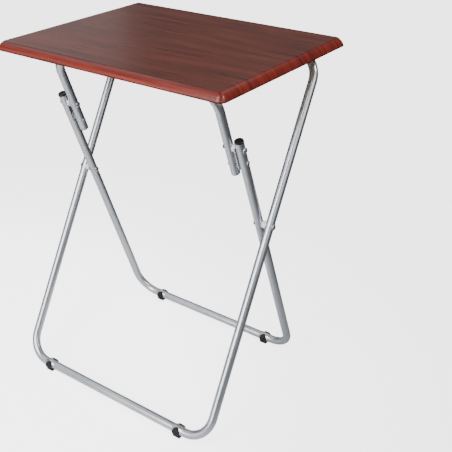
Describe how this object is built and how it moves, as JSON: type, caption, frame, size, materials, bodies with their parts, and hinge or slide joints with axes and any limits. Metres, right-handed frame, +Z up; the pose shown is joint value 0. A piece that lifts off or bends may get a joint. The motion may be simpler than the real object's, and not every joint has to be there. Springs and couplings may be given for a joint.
{
  "type": "folding tray table",
  "caption": "Small folding tray table: a wood-grain top with a moulded edge on crossed legs of bent silver tube that fold flat against it.",
  "frame": {"origin": "on the floor, below the centre of the tabletop", "axes": "+Z up from the floor, X along the long side of the top, Y across it; the outer legs' foot bar is on the -Y side"},
  "size_m": [0.482, 0.4068, 0.66],
  "materials": {
    "wood_foil": "satin reddish mahogany wood-grain foil",
    "board_core": "raw medium-density fibreboard",
    "silver_paint": "satin silver-grey metallic paint",
    "bare_steel": "bare drawn tube",
    "zinc_steel": "bright zinc plate",
    "white_nylon": "natural white nylon",
    "black_plastic": "fine moulded texture",
    "black_rubber": "matt moulded rubber"
  },
  "bodies": {
    "outer_legs": {"outer_leg_frame": "silver_paint", "outer_frame_sleeve": "bare_steel", "crossing_rivet_outer_left": "zinc_steel", "crossing_rivet_outer_right": "zinc_steel", "crossing_spacer_left": "white_nylon", "crossing_spacer_right": "white_nylon", "outer_foot_left": "black_rubber", "outer_foot_right": "black_rubber"},
    "tabletop": {"tabletop_core": "board_core", "tabletop_foil": "wood_foil", "clip_screws": "zinc_steel", "outer_bar_clip_left": "black_plastic", "outer_bar_clip_right": "black_plastic", "support_bar_clip_left": "black_plastic", "support_bar_clip_right": "black_plastic"},
    "top_support": {"top_support_frame": "silver_paint", "stop_pin_left": "zinc_steel", "stop_pin_right": "zinc_steel", "support_leg_cap_left": "black_plastic", "support_leg_cap_right": "black_plastic"},
    "inner_legs": {"inner_leg_frame": "silver_paint", "crossing_rivet_inner_left": "zinc_steel", "crossing_rivet_inner_right": "zinc_steel", "hinge_rivet_left": "zinc_steel", "hinge_rivet_right": "zinc_steel", "hinge_spacer_left": "white_nylon", "hinge_spacer_right": "white_nylon", "stop_plate_left": "zinc_steel", "stop_plate_right": "zinc_steel", "stop_plate_rivet_left": "zinc_steel", "stop_plate_rivet_right": "zinc_steel", "inner_leg_cap_left": "black_plastic", "inner_leg_cap_right": "black_plastic", "inner_foot_left": "black_rubber", "inner_foot_right": "black_rubber"}
  },
  "joints": [
    {"name": "tabletop_fold", "type": "hinge", "parent": "outer_legs", "child": "tabletop", "pos_m": [0, 0.136, 0.635], "axis": [1, 0, 0], "range_deg": [0, 61.45]},
    {"name": "support_fold", "type": "hinge", "parent": "tabletop", "child": "top_support", "pos_m": [0, -0.1185, 0.635], "axis": [1, 0, 0], "range_deg": [0, 68.65]},
    {"name": "inner_leg_fold", "type": "hinge", "parent": "top_support", "child": "inner_legs", "pos_m": [0, -0.07539, 0.52469], "axis": [1, 0, 0], "range_deg": [-180.01, 0]}
  ],
  "couplings": [
    {"joint": "support_fold", "follows": "tabletop_fold", "ratio": 1.1172},
    {"joint": "inner_leg_fold", "follows": "tabletop_fold", "ratio": -2.9293}
  ]
}
